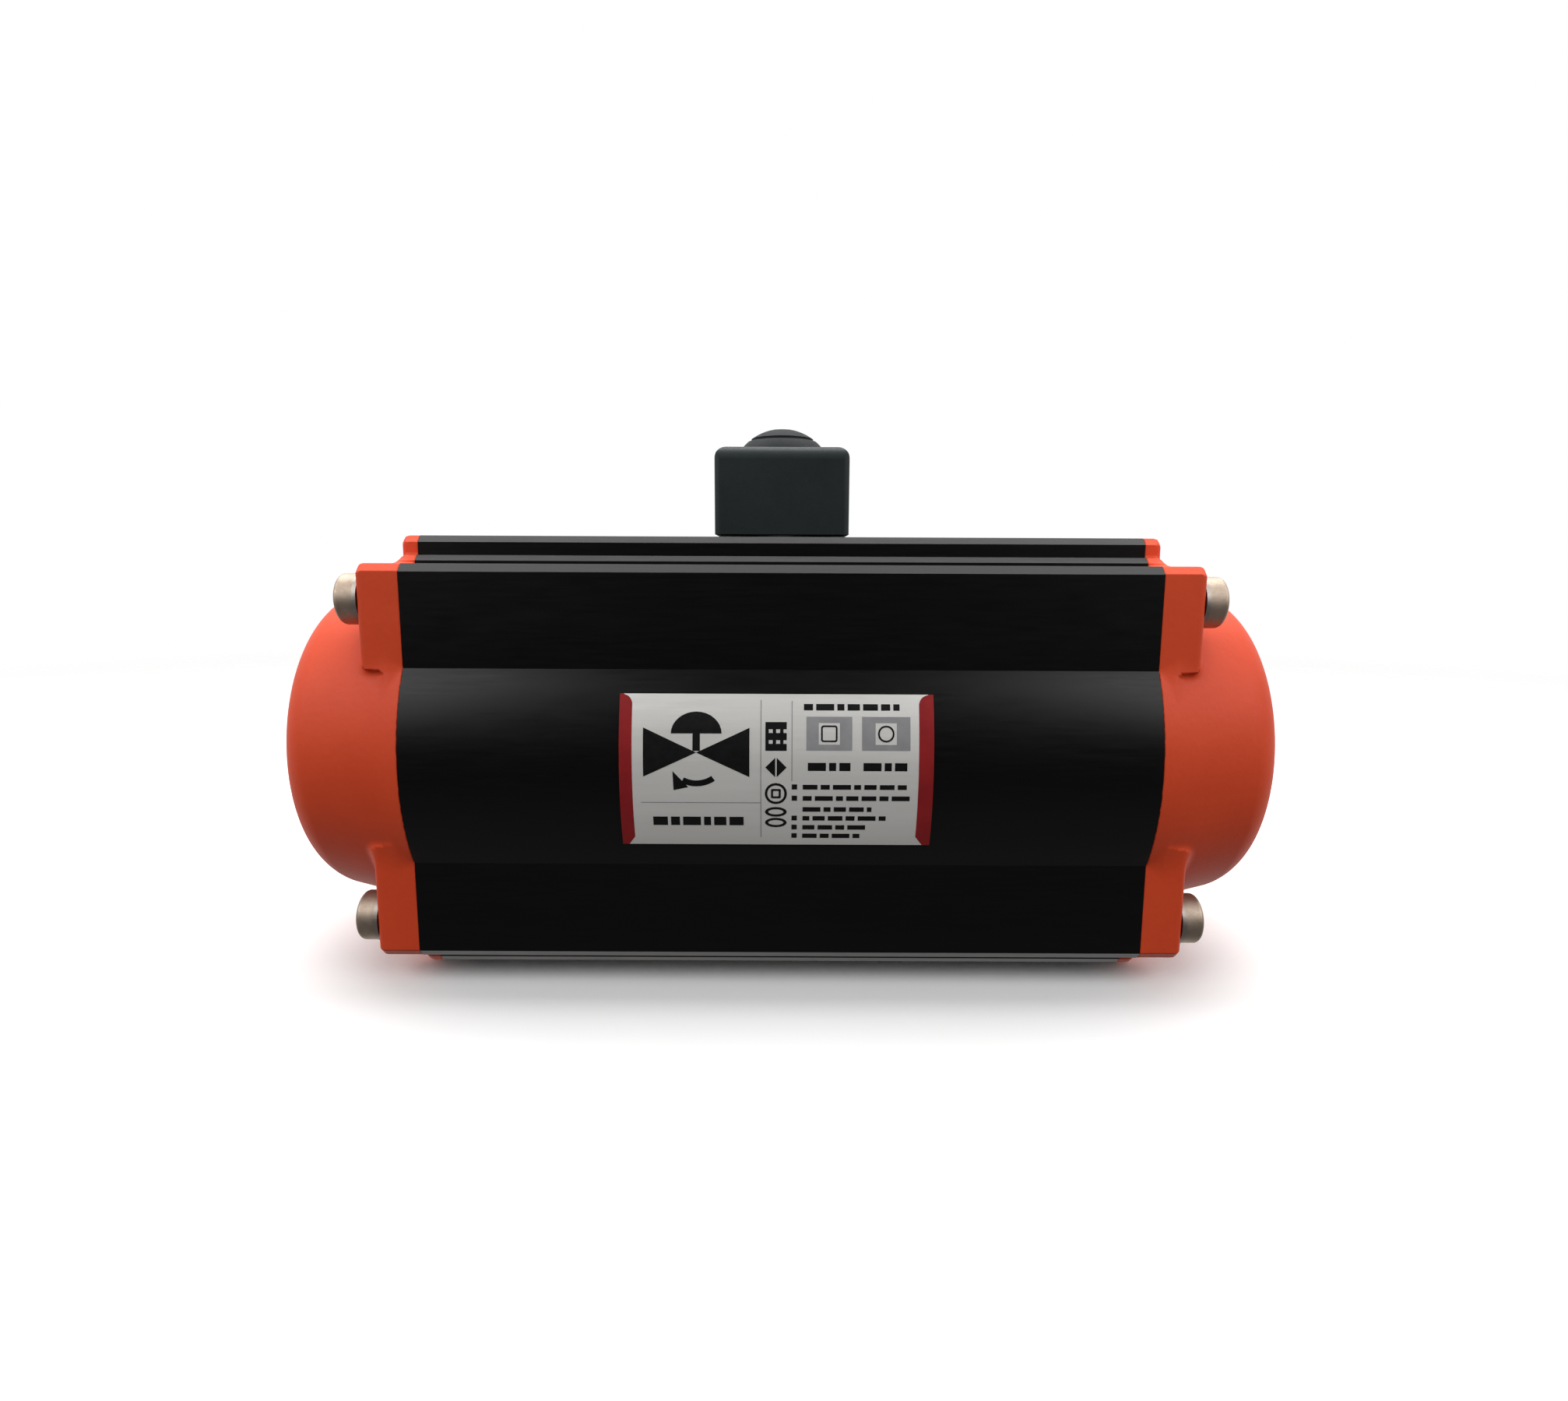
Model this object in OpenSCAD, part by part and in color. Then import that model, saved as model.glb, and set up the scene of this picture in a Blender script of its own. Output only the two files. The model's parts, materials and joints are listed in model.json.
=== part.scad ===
// Double-acting rack-and-pinion rotary actuator, 92 mm bore, quarter turn.
// Frame: Z is the drive axis, Z = 0 is the valve mounting face, the cylinder
// bore runs along X, the name plate faces -Y and the air ports face +Y.

/* [Cylinder body] */
// Bore of the cylinder
bore_d = 92; // [91:0.5:93]
// Length of the extruded body along the bore
body_len = 188; // [186:1:196]
// Height from the valve face to the top pad
body_h = 116.5; // [116:0.5:120]
// Radius of the round bulge round the bore
bulge_r = 50; // [49.5:0.1:50.5]
// Width across the flat shoulders
shoulder_w = 86.4; // [85:0.2:88]
// Height across the shoulders
shoulder_h = 102; // [100:0.5:103]
// Width of the raised top and bottom pads
pad_w = 60; // [59:0.5:62]
// Distance from the bore axis to the air port face
land_y = 56; // [56:0.5:58]

/* [End caps] */
// Thickness of the corner bosses that carry the cap screws
boss_t = 11; // [10:0.5:12]
// Length of each cap from its joint to the tip of the dome
cap_len = 43.5; // [42:0.5:46]
// Radius of the dome's crowned end face
crown_r = 79; // [74:1:90]
// Draft of the dome's side, in degrees
cap_draft = 13.4; // [13:0.1:16]

/* [Drive] */
// Number of teeth on the pinion
teeth = 18; // [18:2:18]
// Gear module
gear_m = 2; // [2:0.5:2]
// Width across the flats of the square drive socket
drive_af = 17; // [14:1:17]
// Depth of the drive socket
drive_depth = 19; // [17:1:20]

/* [Position indicator] */
// Width of the square indicator block
block_w = 36.5; // [36:0.5:38]
// Top of the block above the top pad
block_top = 24.5; // [22:0.5:26]
// Height of the domed knob above the block
knob_h = 6.8; // [6:0.1:8]

/* [Name plate] */
// Length of the plate
plate_len = 77; // [70:1:80]
// Height of the plate, top edge to bottom edge
plate_h = 38.2; // [36:0.1:40]
// Thickness of the plate
plate_t = 0.6; // [0.5:0.1:0.8]

/* [Hidden] */
$fn = 96;

LEFT = -1;
RIGHT = 1;
eps = 0.01;
axis_z = body_h / 2;
bore_r = bore_d / 2;
half_len = body_len / 2;
edge_c = 2;            // chamfer of the shoulder edges
pad_edge_c = 1.7;      // chamfer of the pad edges
foot_w = pad_w + 5;    // low step at the foot of each pad
foot_h = 106.4;
foot_edge_c = 1.4;
land_h = 60;           // height of the raised port face
land_edge_r = 3;

// Cap screws, M8, and the bosses they sit on
screw_y = 36;
screw_z = 42;
screw_r = 3.95;
screw_hole_r = 4;
screw_clear_r = 4.4;
screw_len = 30;
screw_head_r = 6.5;
screw_head_h = 5;        // low heads
screw_head_round = 1.1;
screw_socket_af = 5;
screw_socket_depth = 3;
washer_r = 6.8;
washer_t = 1;
boss_in_y = 24;        // inner side of each corner boss
boss_in_z = [21.5, 24.8]; // ends of the lower and upper bosses nearest the bore axis
tab_t = 4.6;           // thickness of the cap over the pads and port face
cap_rim_r = 3;         // rounding between the dome's side and its crown
cap_wall = 5;
spigot_len = 4;
spigot_r = 45.9;
seal_groove = [91, 93.4];
nub_r = 2.8;           // casting gate mark in the middle of the crown
nub_h = 0.6;

// Tapped holes, drawn at their tapping-drill radius
m5_r = 2.1;
m6_r = 2.5;
m8_r = 3.4;
f05_pcd = 50;
f07_pcd = 70;
top_pattern = [80, 30];
port_pattern = [32, 24];
port_r = 5.9;
port_x = 12;
port_depth = 8;
air_hole_r = 2.5;
gallery_r = 2.2;       // air gallery from the right port to both caps
gallery_y = 51.5;
gallery_z = -20;
gallery_drop_x = 8;

// Travel stops, M10 screws that meet two flats on the cam
stop_x = 28;
stop_z = 19;
stop_r = 4.95;
stop_hole_r = 5;
stop_len = 49;
stop_gap = 0.1;
stop_socket_af = 5;
stop_seal_t = 1.5;
stop_nut_af = 16;
stop_nut_h = 6;
cam_flat = 19;         // distance of the cam's flats from the drive axis
cam_r = 37;
cam_z = [73.75, 80.75];

// Pinion
pitch_r = gear_m * teeth / 2;
tip_r = pitch_r + gear_m;
root_r = pitch_r - 1.25 * gear_m;
base_r = pitch_r * cos(20);
tooth_pitch = PI * gear_m;
backlash = 0.2;
gear_z = [44.25, 72.25];
lower_shaft_r = 17;
upper_shaft_r = 15;
bottom_journal_r = 18.5;
bottom_flange_r = 20.5;
bottom_hole_r = 20.6;
top_journal_r = 14;
top_hole_r = 16;
bearing_gap = 0.06;
seal_gap = 0.05;
shaft_seal_r = 1.35;   // half thickness of the two shaft seals
bottom_seal_z = 5;
top_seal_z = 112;
bottom_bearing_z = [7.5, 14];
top_bearing_z = [104, 109.8];
thrust_z = [115.5, 116.9];
washer_z = [116.9, 118];
ring_z = [118.1, 119.6];
stub_r = 12.5;
spindle_r = 11;
spindle_top = 136.5;
spindle_af = 18;
pinion_bottom = 0.8;

// Pistons
head_x = [42, 61];
head_r = 45.7;
rack_end_x = -40;
rack_half_h = 13;
rack_back_r = 44.8;
piston_seal_x = 48.5;
piston_seal_r = 1.6;
band_x = [53, 58];
band_in_r = 44;
band_out_r = 45.93;
guide_x = [-38, -16];
guide_half_h = 9;

// Indicator
block_gap = 1.05;       // clearance between the block and the top pad
block_z = [body_h + block_gap, body_h + block_top];
dust_seal_r = 17.8;
dust_seal_gap = 0.1;
block_edge_r = 3.6;
block_corner_r = 1.6;
knob_r = 15;          // radius of its crown
knob_groove_drop = 3.3; // from the top of the crown to its ring groove
knob_groove_t = 0.8;
plate_x = -1;
plate_low = -18.6;

// ---- Helpers ---------------------------------------------------------

// A rectangle with true round corners, centred
module round_rect(w, h, r) {
    square([w - 2 * r, h], center = true);
    square([w, h - 2 * r], center = true);
    for (sx = [-1, 1], sy = [-1, 1])
        translate([sx * (w / 2 - r), sy * (h / 2 - r)])
            circle(r);
}

// A rectangle with its corners cut off at 45 degrees, centred
module chamfered_rect(w, h, c) {
    u = w / 2;
    v = h / 2;
    polygon([[u, v - c], [u - c, v], [c - u, v], [-u, v - c],
        [-u, c - v], [c - u, -v], [u - c, -v], [u, c - v]]);
}

// Extrudes a Y-Z section along X, from x0, about the bore axis
module along_x(x0, len) {
    translate([x0, 0, axis_z])
        rotate([90, 0, 90])
            linear_extrude(len)
                children();
}

// Revolves a radius-X profile about the bore axis
module about_bore(x0 = 0) {
    translate([x0, 0, axis_z])
        rotate([0, 90, 0])
            rotate_extrude()
                children();
}

module x_rod(x0, len, r, y = 0, z = 0) {
    translate([x0, y, axis_z + z])
        rotate([0, 90, 0])
            cylinder(h = len, r = r);
}

module y_rod(y0, len, r, x = 0, z = 0, sides = 0) {
    translate([x, y0, axis_z + z])
        rotate([-90, 0, 0])
            cylinder(h = len, r = r, $fn = sides > 0 ? sides : $fn);
}

module z_rod(z, r) {
    translate([0, 0, z[0]])
        cylinder(h = z[1] - z[0], r = r);
}

module z_ring(z, r_in, r_out) {
    difference() {
        z_rod(z, r_out);
        z_rod([z[0] - 1, z[1] + 1], r_in);
    }
}

// A round-section seal about the drive axis
module z_seal(z, r_mid, r_cord) {
    translate([0, 0, z])
        rotate_extrude()
            translate([r_mid, 0])
                circle(r_cord);
}

// One cap of a pair is drawn on +X and mirrored for the other side
module on_side(side) {
    if (side == LEFT)
        mirror([1, 0, 0]) children();
    else
        children();
}

module four_corners(dx, dy) {
    for (sx = [-1, 1], sy = [-1, 1])
        translate([sx * dx, sy * dy, 0])
            children();
}

// ---- Cylinder body ---------------------------------------------------

// The flat-sided parts of the outline: shoulders, pads and port face
module flats_outline() {
    chamfered_rect(shoulder_w, shoulder_h, edge_c);
    chamfered_rect(foot_w, foot_h, foot_edge_c);
    chamfered_rect(pad_w, body_h, pad_edge_c);
    translate([land_y / 2, 0])
        round_rect(land_y, land_h, land_edge_r);
}

// Outline of the extrusion, centred on the bore
module body_outline() {
    circle(bulge_r);
    flats_outline();
}

module valve_face_holes() {
    for (a = [45 : 90 : 315])
        rotate([0, 0, a]) {
            translate([f05_pcd / 2, 0, -1])
                cylinder(h = 10, r = m6_r);
            translate([f07_pcd / 2, 0, -1])
                cylinder(h = 14, r = m8_r);
        }
}

module port_holes() {
    for (x = [-port_x, port_x])
        y_rod(land_y - port_depth, port_depth + 1, port_r, x);
    y_rod(bore_r - 2, land_y - bore_r, air_hole_r, -port_x);
    translate([0, land_y - 7, axis_z])
        rotate([-90, 0, 0])
            four_corners(port_pattern[0] / 2, port_pattern[1] / 2)
                cylinder(h = 8, r = m5_r);
    translate([gallery_drop_x, gallery_y, axis_z + gallery_z])
        cylinder(h = -gallery_z, r = gallery_r);
    x_rod(-half_len - 1, body_len + 2, gallery_r, gallery_y, gallery_z);
}

module housing() {
    color("#1b1c1e")
    difference() {
        along_x(-half_len, body_len)
            body_outline();
        x_rod(-half_len - 1, body_len + 2, bore_r);
        z_rod([axis_z, body_h + 1], top_hole_r);
        z_rod([thrust_z[0], body_h + 1], top_hole_r + 1);
        z_rod([-1, axis_z], bottom_hole_r);
        valve_face_holes();
        translate([0, 0, body_h - 8])
            four_corners(top_pattern[0] / 2, top_pattern[1] / 2)
                cylinder(h = 9, r = m5_r);
        port_holes();
        for (x = [-stop_x, stop_x])
            y_rod(0, land_y + 1, stop_hole_r, x, stop_z);
        for (y = [-screw_y, screw_y], z = [-screw_z, screw_z]) {
            x_rod(half_len - 22, 23, screw_hole_r, y, z);
            x_rod(-half_len - 1, 23, screw_hole_r, y, z);
        }
    }
}

module name_plate() {
    color("#c9cacc")
    intersection() {
        difference() {
            x_rod(plate_x - plate_len / 2, plate_len, bulge_r + plate_t);
            x_rod(-half_len, body_len, bulge_r);
        }
        translate([plate_x - plate_len / 2, -bulge_r - 2, axis_z + plate_low])
            cube([plate_len, 20, plate_h]);
    }
}

// ---- End caps --------------------------------------------------------

// The dome's profile, radius against distance from the joint: a drafted
// side, a rounded rim and a crowned face, all tangent
module dome_profile() {
    crown_c = cap_len - crown_r;
    side_d = bulge_r * cos(cap_draft);
    a = asin((side_d - cap_rim_r - crown_c * sin(cap_draft))
        / (crown_r - cap_rim_r)) - cap_draft;
    rim = [(crown_r - cap_rim_r) * sin(a),
        crown_c + (crown_r - cap_rim_r) * cos(a)];
    side_end = rim + cap_rim_r * [cos(cap_draft), sin(cap_draft)];
    far = crown_r + 10;
    polygon([[0, 0], [bulge_r, 0], side_end, rim, [0, rim[1]]]);
    translate(rim)
        circle(cap_rim_r);
    intersection() {
        translate([0, crown_c])
            circle(crown_r);
        polygon([[0, 0], rim, [far * sin(a), crown_c + far * cos(a)],
            [0, crown_c + far]]);
    }
}

module dome_cavity() {
    mouth_r = bulge_r - 1.7 * cap_wall;
    end_r = mouth_r - cap_len * tan(cap_draft);
    intersection() {
        translate([0, cap_len - crown_r])
            circle(crown_r - cap_wall);
        polygon([[0, -spigot_len - 1], [mouth_r, -spigot_len - 1],
            [mouth_r, 0], [end_r, cap_len], [0, cap_len]]);
    }
}

// Section of the four corner bosses: the shoulders' outer corners
module boss_section() {
    intersection() {
        chamfered_rect(shoulder_w, shoulder_h, edge_c);
        for (sy = [-1, 1], upper = [0, 1])
            translate([sy * (boss_in_y + 20), (2 * upper - 1) * (boss_in_z[upper] + 20)])
                square(40, center = true);
    }
}

module end_cap(side) {
    color("#d8532f")
    on_side(side)
    difference() {
        union() {
            about_bore(half_len)
                dome_profile();
            along_x(half_len, tab_t)
                flats_outline();
            along_x(half_len, boss_t)
                boss_section();
            x_rod(half_len - spigot_len, spigot_len + 1, spigot_r);
            x_rod(half_len + cap_len - 1, 1 + nub_h, nub_r);
        }
        about_bore(half_len)
            dome_cavity();
        about_bore()
            translate([spigot_r - 2.4, seal_groove[0]])
                square([5, seal_groove[1] - seal_groove[0]]);
        for (y = [-screw_y, screw_y], z = [-screw_z, screw_z])
            x_rod(half_len - 1, boss_t + 2, screw_clear_r, y, z);
        translate([half_len - eps, 38, axis_z + gallery_z - gallery_r])
            cube([2.2, gallery_y + gallery_r - 38, 2 * gallery_r]);
    }
}

module end_cap_seal(side) {
    color("#151515")
    on_side(side)
        about_bore()
            translate([spigot_r - 1.15, (seal_groove[0] + seal_groove[1]) / 2])
                circle(1.18);
}

module cap_screw(y, z) {
    head_x0 = half_len + boss_t + washer_t;
    difference() {
        union() {
            x_rod(head_x0 - screw_len, screw_len + 1, screw_r, y, z);
            translate([head_x0, y, axis_z + z])
                rotate([0, 90, 0])
                    rotate_extrude() {
                        square([screw_head_r, screw_head_h - screw_head_round]);
                        square([screw_head_r - screw_head_round, screw_head_h]);
                        translate([screw_head_r - screw_head_round,
                            screw_head_h - screw_head_round])
                            circle(screw_head_round);
                    }
        }
        translate([head_x0 + screw_head_h - screw_socket_depth, y, axis_z + z])
            rotate([0, 90, 0])
                cylinder(h = screw_socket_depth + 1, r = screw_socket_af / sqrt(3),
                    $fn = 6);
    }
}

module cap_screws(side) {
    color("#a9a7a2")
    on_side(side)
        for (y = [-screw_y, screw_y], z = [-screw_z, screw_z])
            cap_screw(y, z);
}

module cap_washers(side) {
    color("#b9b7b0")
    on_side(side)
        for (y = [-screw_y, screw_y], z = [-screw_z, screw_z])
            difference() {
                x_rod(half_len + boss_t, washer_t, washer_r, y, z);
                x_rod(half_len, 2 * boss_t, screw_clear_r - 0.2, y, z);
            }
}

// ---- Travel stops ----------------------------------------------------

module stop_screw(side) {
    tip_y = cam_flat + stop_gap;
    color("#9c9a96")
    difference() {
        y_rod(tip_y, stop_len, stop_r, side * stop_x, stop_z);
        y_rod(tip_y + stop_len - 5, 6, stop_socket_af / sqrt(3),
            side * stop_x, stop_z, 6);
    }
}

module stop_seal(side) {
    color("#151515")
    difference() {
        y_rod(land_y, stop_seal_t, 8.2, side * stop_x, stop_z);
        y_rod(land_y - 1, stop_seal_t + 2, stop_r + 0.1, side * stop_x, stop_z);
    }
}

module stop_nut(side) {
    nut_y = land_y + stop_seal_t;
    color("#a9a7a2")
    difference() {
        intersection() {
            y_rod(nut_y, stop_nut_h, stop_nut_af / sqrt(3),
                side * stop_x, stop_z, 6);
            y_rod(nut_y - 1, stop_nut_h + 2, stop_nut_af / 2 + 0.75,
                side * stop_x, stop_z);
        }
        y_rod(nut_y - 1, stop_nut_h + 2, stop_hole_r, side * stop_x, stop_z);
    }
}

// ---- Pinion ----------------------------------------------------------

function turn(p, a) =
    [p[0] * cos(a) - p[1] * sin(a), p[0] * sin(a) + p[1] * cos(a)];

// Point of the involute of the base circle, t in degrees of unwinding
function involute(t) =
    let (rad = t * PI / 180)
    [base_r * (cos(t) + rad * sin(t)), base_r * (sin(t) - rad * cos(t))];

// Half the angle that a tooth spans at the base circle
half_tooth = (tooth_pitch - backlash) / 4 / pitch_r * 180 / PI
    + (tan(20) * 180 / PI - 20);
tip_t = sqrt(pow(tip_r / base_r, 2) - 1) * 180 / PI;
flank_steps = 5;
flank = [for (i = [0 : flank_steps])
    turn(involute(tip_t * i / flank_steps), -half_tooth)];

module gear_outline() {
    lower = concat([turn([root_r - 1, 0], -half_tooth)], flank);
    upper = [for (i = [len(lower) - 1 : -1 : 0]) [lower[i][0], -lower[i][1]]];
    circle(root_r);
    for (i = [0 : teeth - 1])
        rotate(90 + i * 360 / teeth)
            polygon(concat(lower, upper));
}

module shaft_groove(z, r) {
    z_ring([z - 1.6, z + 1.6], r, r + 10);
}

module pinion() {
    color("#8d8f92")
    difference() {
        union() {
            z_rod([pinion_bottom, 3.2], bottom_flange_r);
            z_rod([pinion_bottom, 16], bottom_journal_r);
            z_rod([pinion_bottom, gear_z[0]], lower_shaft_r);
            translate([0, 0, gear_z[0]])
                linear_extrude(gear_z[1] - gear_z[0])
                    gear_outline();
            z_rod([gear_z[0], 101], upper_shaft_r);
            z_rod([gear_z[0], thrust_z[0]], top_journal_r);
            z_rod([gear_z[0], 120.2], stub_r);
            intersection() {
                z_rod([gear_z[0], spindle_top], spindle_r);
                translate([-spindle_af / 2, -spindle_r, gear_z[0]])
                    cube([spindle_af, 2 * spindle_r, spindle_top]);
            }
        }
        shaft_groove(bottom_seal_z, bottom_hole_r - seal_gap - 2 * shaft_seal_r);
        shaft_groove(top_seal_z, top_hole_r - seal_gap - 2 * shaft_seal_r);
        z_ring(ring_z, stub_r - 1, stub_r + 5);
        for (a = [0, 45])
            rotate([0, 0, a])
                translate([-drive_af / 2, -drive_af / 2, 0])
                    cube([drive_af, drive_af, pinion_bottom + drive_depth]);
        z_rod([spindle_top - 16, spindle_top + 1], m6_r);
    }
}

// Two flats a quarter turn apart meet the two stop screws
module stop_cam() {
    color("#77797c")
    intersection() {
        z_ring(cam_z, upper_shaft_r, cam_r);
        translate([cam_flat - 2 * cam_r, cam_flat - 2 * cam_r, 0])
            cube([2 * cam_r, 2 * cam_r, body_h]);
    }
}

module pinion_seal_top() {
    color("#151515")
    z_seal(top_seal_z, top_hole_r - seal_gap - shaft_seal_r, shaft_seal_r);
}

module pinion_seal_bottom() {
    color("#151515")
    z_seal(bottom_seal_z, bottom_hole_r - seal_gap - shaft_seal_r, shaft_seal_r);
}

module top_bearing() {
    color("#e8e6de")
    z_ring(top_bearing_z, top_journal_r + bearing_gap, top_hole_r);
}

module bottom_bearing() {
    color("#e8e6de")
    z_ring(bottom_bearing_z, bottom_journal_r + bearing_gap, bottom_hole_r);
}

module thrust_bearing() {
    color("#e8e6de")
    z_ring(thrust_z, top_journal_r + bearing_gap, top_hole_r + 0.9);
}

module thrust_washer() {
    color("#b5b5b3")
    z_ring(washer_z, stub_r + 0.1, 15.6);
}

// External circlip with its gap on +X
module snap_ring() {
    color("#4a4a4a")
    difference() {
        z_ring(ring_z, stub_r - 1, stub_r + 2.6);
        translate([0, -4, ring_z[0] - 1])
            cube([20, 8, 5]);
    }
}

// Square-section ring that closes the gap under the indicator block
module dust_seal() {
    color("#151515")
    z_ring([body_h + dust_seal_gap, block_z[0]], top_hole_r + 1, dust_seal_r);
}

// ---- Position indicator ----------------------------------------------

// Upright outline of the block: square at the foot, rounded at the top
module block_side() {
    h = block_z[1] - block_z[0];
    translate([0, -h / 2])
        round_rect(block_w, h, block_edge_r);
    translate([-block_w / 2, -h])
        square([block_w, h / 2]);
}

module indicator_block() {
    color("#2b3133")
    difference() {
        intersection() {
            translate([0, 0, block_z[0]])
                linear_extrude(block_z[1] - block_z[0])
                    round_rect(block_w, block_w, block_corner_r);
            translate([0, block_w, block_z[1]])
                rotate([90, 0, 0])
                    linear_extrude(2 * block_w)
                        block_side();
            translate([-block_w, 0, block_z[1]])
                rotate([90, 0, 90])
                    linear_extrude(2 * block_w)
                        block_side();
        }
        z_rod([block_z[0] - 1, 120.4], stub_r + 3.7);
        intersection() {
            z_rod([block_z[0], spindle_top + 0.1], spindle_r + 0.1);
            translate([-spindle_af / 2 - 0.1, -20, 0])
                cube([spindle_af + 0.2, 40, 2 * body_h]);
        }
        z_rod([spindle_top, block_z[1] + 1], 3.3);
    }
}

// Domed knob with a ring groove and a shallow slot across its crown
module indicator_knob() {
    centre_z = block_z[1] + knob_h - knob_r;
    groove_z = block_z[1] + knob_h - knob_groove_drop;
    groove_r = sqrt(pow(knob_r, 2) - pow(groove_z - centre_z, 2));
    color("#2f3436")
    difference() {
        translate([0, 0, centre_z])
            sphere(knob_r);
        z_rod([centre_z - knob_r - 1, block_z[1]], 2 * knob_r);
        z_ring([groove_z - knob_groove_t / 2, groove_z + knob_groove_t / 2],
            groove_r - 0.7, 2 * knob_r);
        translate([-1.7, -knob_r, block_z[1] + knob_h - 0.45])
            cube([3.4, 2 * knob_r, 2]);
        z_rod([block_z[1] - 1, block_z[1] + 4.2], 5.6);
    }
}

module indicator_screw() {
    color("#a9a7a2")
    difference() {
        union() {
            z_rod([block_z[1] - 19, block_z[1] + 1], m6_r - 0.05);
            z_rod([block_z[1], block_z[1] + 4], 5);
        }
        translate([0, 0, block_z[1] + 1.6])
            cylinder(h = 3, r = 4 / sqrt(3), $fn = 6);
    }
}

// ---- Pistons ---------------------------------------------------------

// The right piston: its head on +X and its rack on -Y, in mesh at rest
module rack_teeth() {
    half_w = (tooth_pitch - backlash) / 4;
    tip_half = half_w - 0.95 * gear_m * tan(20);
    root_half = half_w + 1.25 * gear_m * tan(20);
    root_y = -pitch_r - 1.25 * gear_m;
    tip_y = -pitch_r + 0.95 * gear_m;
    for (x = [-5.5 * tooth_pitch : tooth_pitch : 5.6 * tooth_pitch])
        translate([x, 0])
            polygon([[-root_half, root_y], [root_half, root_y],
                [tip_half, tip_y], [-tip_half, tip_y]]);
    translate([rack_end_x, -rack_back_r])
        square([head_x[0] - rack_end_x + 1, root_y + rack_back_r + eps]);
}

module turned(side) {
    rotate([0, 0, side == LEFT ? 180 : 0])
        children();
}

module piston(side) {
    color("#b9bbbd")
    turned(side)
    difference() {
        union() {
            x_rod(head_x[0], head_x[1] - head_x[0], head_r);
            intersection() {
                translate([0, 0, axis_z - rack_half_h])
                    linear_extrude(2 * rack_half_h)
                        rack_teeth();
                x_rod(rack_end_x - 1, 2 * body_len, rack_back_r);
            }
        }
        about_bore()
            translate([bore_r - seal_gap - 2 * piston_seal_r, piston_seal_x - 2])
                square([10, 4]);
        about_bore()
            translate([band_in_r, band_x[0]])
                square([10, band_x[1] - band_x[0]]);
        for (a = [0 : 72 : 288])
            x_rod(head_x[1] - 6, 7, 9, 26 * cos(a), 26 * sin(a));
        rack_guide_solid();
    }
}

// Low-friction pad let into the back of the rack
module rack_guide_solid() {
    intersection() {
        difference() {
            x_rod(guide_x[0], guide_x[1] - guide_x[0], band_out_r);
            x_rod(guide_x[0] - 1, guide_x[1] - guide_x[0] + 2, 42.8);
        }
        translate([guide_x[0] - 1, -bore_r - 1, axis_z - guide_half_h])
            cube([guide_x[1] - guide_x[0] + 2, 20, 2 * guide_half_h]);
    }
}

module rack_guide(side) {
    color("#e8e6de")
    turned(side)
        rack_guide_solid();
}

module piston_seal(side) {
    color("#151515")
    turned(side)
        about_bore()
            translate([bore_r - seal_gap - piston_seal_r, piston_seal_x])
                circle(piston_seal_r);
}

module piston_band(side) {
    color("#d8d2c2")
    turned(side)
        difference() {
            x_rod(band_x[0], band_x[1] - band_x[0], band_out_r);
            x_rod(band_x[0] - 1, band_x[1] - band_x[0] + 2, band_in_r);
        }
}

// ---- Assembly --------------------------------------------------------

housing();
end_cap(LEFT);  // end_cap_left
end_cap(RIGHT);  // end_cap_right
end_cap_seal(LEFT);  // end_cap_seal_left
end_cap_seal(RIGHT);  // end_cap_seal_right
cap_screws(LEFT);  // cap_screws_left
cap_screws(RIGHT);  // cap_screws_right
cap_washers(LEFT);  // cap_washers_left
cap_washers(RIGHT);  // cap_washers_right
name_plate();
top_bearing();
bottom_bearing();
thrust_bearing();
stop_seal(LEFT);  // stop_seal_left
stop_seal(RIGHT);  // stop_seal_right
stop_nut(LEFT);  // stop_nut_left
stop_nut(RIGHT);  // stop_nut_right
stop_screw(LEFT);  // stop_screw_left
stop_screw(RIGHT);  // stop_screw_right
pinion();
stop_cam();
pinion_seal_top();
pinion_seal_bottom();
thrust_washer();
snap_ring();
dust_seal();
indicator_block();
indicator_knob();
indicator_screw();
piston(LEFT);  // piston_left
piston(RIGHT);  // piston_right
piston_seal(LEFT);  // piston_seal_left
piston_seal(RIGHT);  // piston_seal_right
piston_band(LEFT);  // piston_band_left
piston_band(RIGHT);  // piston_band_right
rack_guide(LEFT);  // rack_guide_left
rack_guide(RIGHT);  // rack_guide_right
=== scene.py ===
"""Looks for the rotary pneumatic actuator: camera, light, materials, cast end caps and the printed plate."""

import json
import math

import bmesh
import bpy
import numpy as np
import openvdb
from mathutils import Matrix, Vector


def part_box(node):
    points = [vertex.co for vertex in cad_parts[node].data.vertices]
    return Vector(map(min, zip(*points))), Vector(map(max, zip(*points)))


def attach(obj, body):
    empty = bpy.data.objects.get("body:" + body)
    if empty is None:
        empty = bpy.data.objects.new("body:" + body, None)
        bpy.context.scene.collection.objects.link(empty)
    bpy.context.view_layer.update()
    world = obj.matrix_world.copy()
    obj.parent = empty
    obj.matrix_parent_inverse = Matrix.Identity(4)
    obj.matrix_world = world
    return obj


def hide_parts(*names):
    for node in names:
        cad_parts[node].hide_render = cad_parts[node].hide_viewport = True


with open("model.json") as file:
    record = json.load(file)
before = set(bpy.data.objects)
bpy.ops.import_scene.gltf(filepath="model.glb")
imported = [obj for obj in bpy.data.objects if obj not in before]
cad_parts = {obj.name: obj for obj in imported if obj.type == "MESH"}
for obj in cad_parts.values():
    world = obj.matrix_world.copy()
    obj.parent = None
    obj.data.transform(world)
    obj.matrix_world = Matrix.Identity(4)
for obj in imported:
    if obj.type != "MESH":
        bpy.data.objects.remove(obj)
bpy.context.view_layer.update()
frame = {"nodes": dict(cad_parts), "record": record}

MM = 0.001
NODES = frame["nodes"]
HOUSING_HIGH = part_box("housing")[1]
PLATE_LOW, PLATE_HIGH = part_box("name_plate")
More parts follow.
